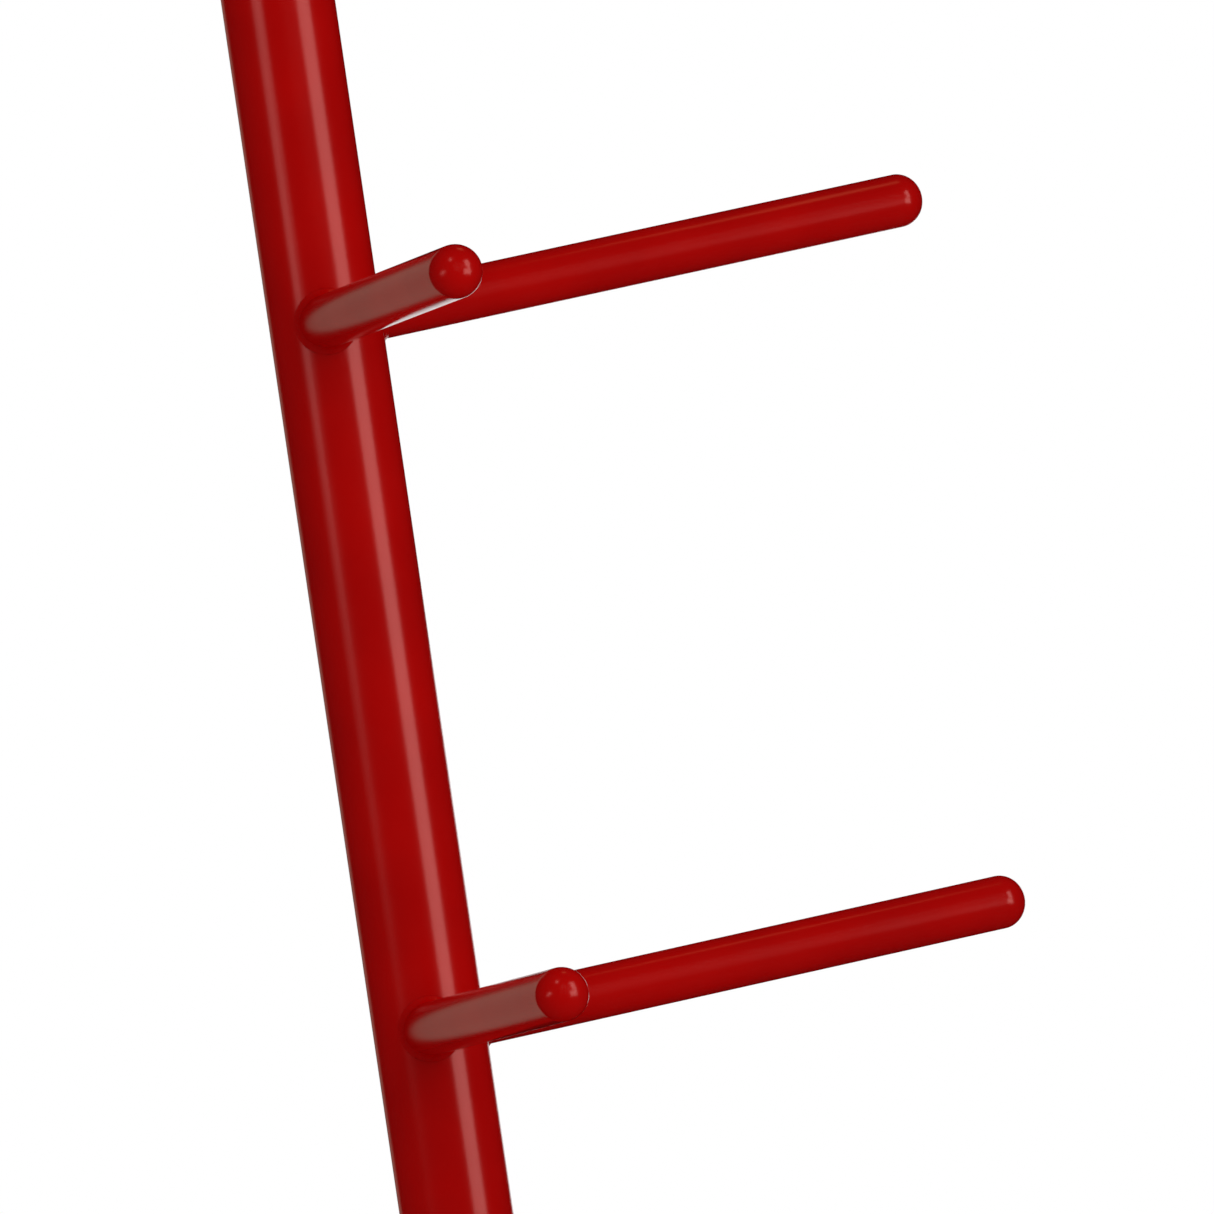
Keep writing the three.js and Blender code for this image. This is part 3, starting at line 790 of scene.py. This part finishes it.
for bolt_name, (x, y) in BOLT_PLACES.items():
    place = Matrix.Translation((x * BOLT_CIRCLE, y * BOLT_CIRCLE, 0))
    bolt_low, bolt_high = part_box(f"flange_bolt_{bolt_name}")
    washer_low, washer_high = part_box(f"flange_washer_{bolt_name}")
    nut_low, nut_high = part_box(f"flange_nut_{bolt_name}")
    washer_profile = filleted(
        (WASHER_BORE, flange_high.z, 0),
        (WASHER_RADIUS, flange_high.z, 0),
        (WASHER_RADIUS, washer_high.z, 0.6 * MM),
        (WASHER_BORE, washer_high.z, 0.3 * MM),
        steps=4,
    )
    washer = [turned(washer_profile)]
    piece(f"washer_{bolt_name}", washer, place, zinc, "zinc_plate", f"flange_washer_{bolt_name}")
    head = [[Vector((0, 0, bolt_high.z))]] + hex_rings(BOLT_FLATS, washer_high.z, bolt_high.z, False)[::-1]
    shank = [level_ring(circle(BOLT_RADIUS), washer_high.z), level_ring(circle(BOLT_RADIUS), nut_high.z)]
    thread = threaded(BOLT_RADIUS, bolt_low.z, nut_low.z + 1 * MM)
    bolt = skin(head + shank + thread + [[Vector((0, 0, bolt_low.z))]])
    piece(f"hex_bolt_{bolt_name}", [bolt], place, zinc, "zinc_plate", f"flange_bolt_{bolt_name}")
    nut_rings = hex_rings(BOLT_FLATS, nut_low.z, hub_low.z, True)
    bore = [level_ring(circle(BOLT_RADIUS), hub_low.z), level_ring(circle(BOLT_RADIUS), nut_low.z)]
    nut = skin(nut_rings + bore, closed=True)
    piece(f"hex_nut_{bolt_name}", [nut], place, zinc, "zinc_plate", f"flange_nut_{bolt_name}")

# ---- Floor, lights and camera ----
# A pale studio floor with a soft edge, and the soft lights around it. None of this is part of the rack. The
# room is white to look at and dark in reflections, so the lights draw clear bands in the gloss.

CAMERA_AZIMUTH = -59.8
CAMERA_ELEVATION = 6.33
CAMERA_ROLL = 0.27
CAMERA_DISTANCE = 22.44
CAMERA_LENS = 740
AIM = Vector((0.157, 0.003, 1.006))
FLOOR_RADIUS = 2.6
FADE_START = 0.45 * FLOOR_RADIUS
FADE_END = 0.98 * FLOOR_RADIUS
FLOOR_LIFT = 0.22
FLOOR_MOTTLE = 0.4
ROOM_FILL = 0.37
ROOM_IN_GLOSS = 0.001


def painted_floor():
    """Matt white floor paint that fades out towards the edge of the floor. The camera sees it a little paler
    than the light makes it, and the rack doesn't."""
    material = empty_material("pale_studio_floor")
    tree = material.node_tree
    place = add(tree, "ShaderNodeTexCoord").outputs["Object"]
    mottle = add(tree, "ShaderNodeTexNoise", Vector=place, Scale=1 / FLOOR_MOTTLE, Detail=3.0)
    tone = add(tree, "ShaderNodeValToRGB", Fac=mottle.outputs["Fac"])
    tone.color_ramp.elements[0].color = linear("e9e9e9")
    tone.color_ramp.elements[1].color = linear("eeeeee")
    out = add(tree, "ShaderNodeVectorMath", {"operation": "LENGTH"}, Vector=place).outputs["Value"]
    fade = add(
        tree,
        "ShaderNodeMapRange",
        {"interpolation_type": "SMOOTHSTEP"},
        Value=out,
        From_Min=FADE_START,
        From_Max=FADE_END,
        To_Min=1.0,
        To_Max=0.0,
    )
    seen_directly = add(tree, "ShaderNodeLightPath").outputs["Is Camera Ray"]
    surface = add(
        tree,
        "ShaderNodeBsdfPrincipled",
        Base_Color=tone.outputs["Color"],
        Roughness=0.7,
        Alpha=fade.outputs["Result"],
        Emission_Color=(FLOOR_LIFT, FLOOR_LIFT, FLOOR_LIFT, 1),
        Emission_Strength=seen_directly,
    )
    add(tree, "ShaderNodeOutputMaterial", Surface=surface.outputs["BSDF"])
    return material


floor_mesh = bpy.data.meshes.new("studio_floor")
floor_mesh.from_pydata([point.to_3d() for point in circle(FLOOR_RADIUS, steps=96)], [], [range(96)])
floor_mesh.materials.append(painted_floor())
studio_floor = bpy.data.objects.new("studio_floor", floor_mesh)
bpy.context.scene.collection.objects.link(studio_floor)
studio_floor.visible_glossy = False


def direction(azimuth, elevation):
    """A direction from the rack, by degrees round to the camera's own right and degrees above level.
    Past 90 degrees it is behind the rack."""
    a, e = math.radians(CAMERA_AZIMUTH + azimuth), math.radians(elevation)
    return Vector((math.sin(a) * math.cos(e), -math.cos(a) * math.cos(e), math.sin(e)))


def panel(
    name,
    azimuth,
    elevation,
    distance,
    width,
    height,
    radiance,
    tint="ffffff",
    seen_at=1.0,
    diffuse=False,
    glossy=True,
):
    """A soft rectangular light that faces the rack, from a direction seen at a height on it. Most lights only
    show in the gloss of the paint."""
    light = bpy.data.lights.new(name, "AREA")
    light.color = linear(tint)[:3]
    light.shape = "RECTANGLE"
    light.size, light.size_y = width, height
    light.energy = radiance * math.pi * width * height
    lamp = bpy.data.objects.new(name, light)
    away = direction(azimuth, elevation)
    lamp.location = Vector((0, 0, seen_at)) + away * distance
    lamp.rotation_mode = "QUATERNION"
    lamp.rotation_quaternion = away.to_track_quat("Z", "Y")
    lamp.visible_camera = False
    lamp.visible_diffuse = diffuse
    lamp.visible_glossy = glossy
    bpy.context.scene.collection.objects.link(lamp)


panel("right_softbox", 51.5, 8.7, 6.6, 3.3, 2.2, 3.5)
panel("right_softbox_above", 58, 33, 6.6, 1.9, 3.0, 3.5)
panel("left_reflector_high", -42, 0, 6.0, 1.35, 0.6, 3.2, seen_at=1.7)
panel("left_reflector_middle", -49, 0, 6.0, 1.45, 0.7, 2.0, seen_at=1.05)
panel("left_reflector_low", -54, 0, 6.0, 1.45, 0.5, 0.4, seen_at=0.45)
panel("high_lamp", -24, 52, 6.0, 0.9, 0.9, 4.5, seen_at=1.3)
panel("warm_overhead", 139, 73, 1.57, 0.35, 0.35, 1.1, tint="ffc890", seen_at=1.3)
panel("back_left_wall", 180 + 27, -4, 5.0, 1.8, 6.0, 0.29, tint="ffe3cd")
panel("back_floor_light", 180 - 8, -14, 3.2, 1.4, 0.7, 1.3, seen_at=1.2)
panel("key_from_front_right", 25, 22, 5.5, 5.0, 3.0, 2.55, seen_at=1.6, diffuse=True, glossy=False)

world = bpy.data.worlds.new("studio")
bpy.context.scene.world = world
world.use_nodes = True
world.cycles.sampling_method = "NONE"
room = world.node_tree
room.nodes.clear()
rays = add(room, "ShaderNodeLightPath")
in_gloss = rays.outputs["Is Glossy Ray"]
level = add(room, "ShaderNodeMapRange", Value=in_gloss, To_Min=ROOM_FILL, To_Max=ROOM_IN_GLOSS)
seen = add(room, "ShaderNodeMath", {"operation": "MAXIMUM"})
room.links.new(rays.outputs["Is Camera Ray"], seen.inputs[0])
room.links.new(level.outputs["Result"], seen.inputs[1])
glow = add(room, "ShaderNodeBackground", Color=(1, 1, 1, 1), Strength=seen.outputs["Value"])
add(room, "ShaderNodeOutputWorld", Surface=glow.outputs["Background"])

lens = bpy.data.cameras.new("camera")
lens.lens = CAMERA_LENS
lens.clip_end = 200
camera = bpy.data.objects.new("camera", lens)
bpy.context.scene.collection.objects.link(camera)
bpy.context.scene.camera = camera
toward_camera = direction(0, CAMERA_ELEVATION)
roll = Matrix.Rotation(math.radians(CAMERA_ROLL), 4, "Z").to_quaternion()
camera.location = AIM + toward_camera * CAMERA_DISTANCE
camera.rotation_mode = "QUATERNION"
camera.rotation_quaternion = toward_camera.to_track_quat("Z", "Y") @ roll
bpy.context.scene.view_settings.view_transform = "Standard"
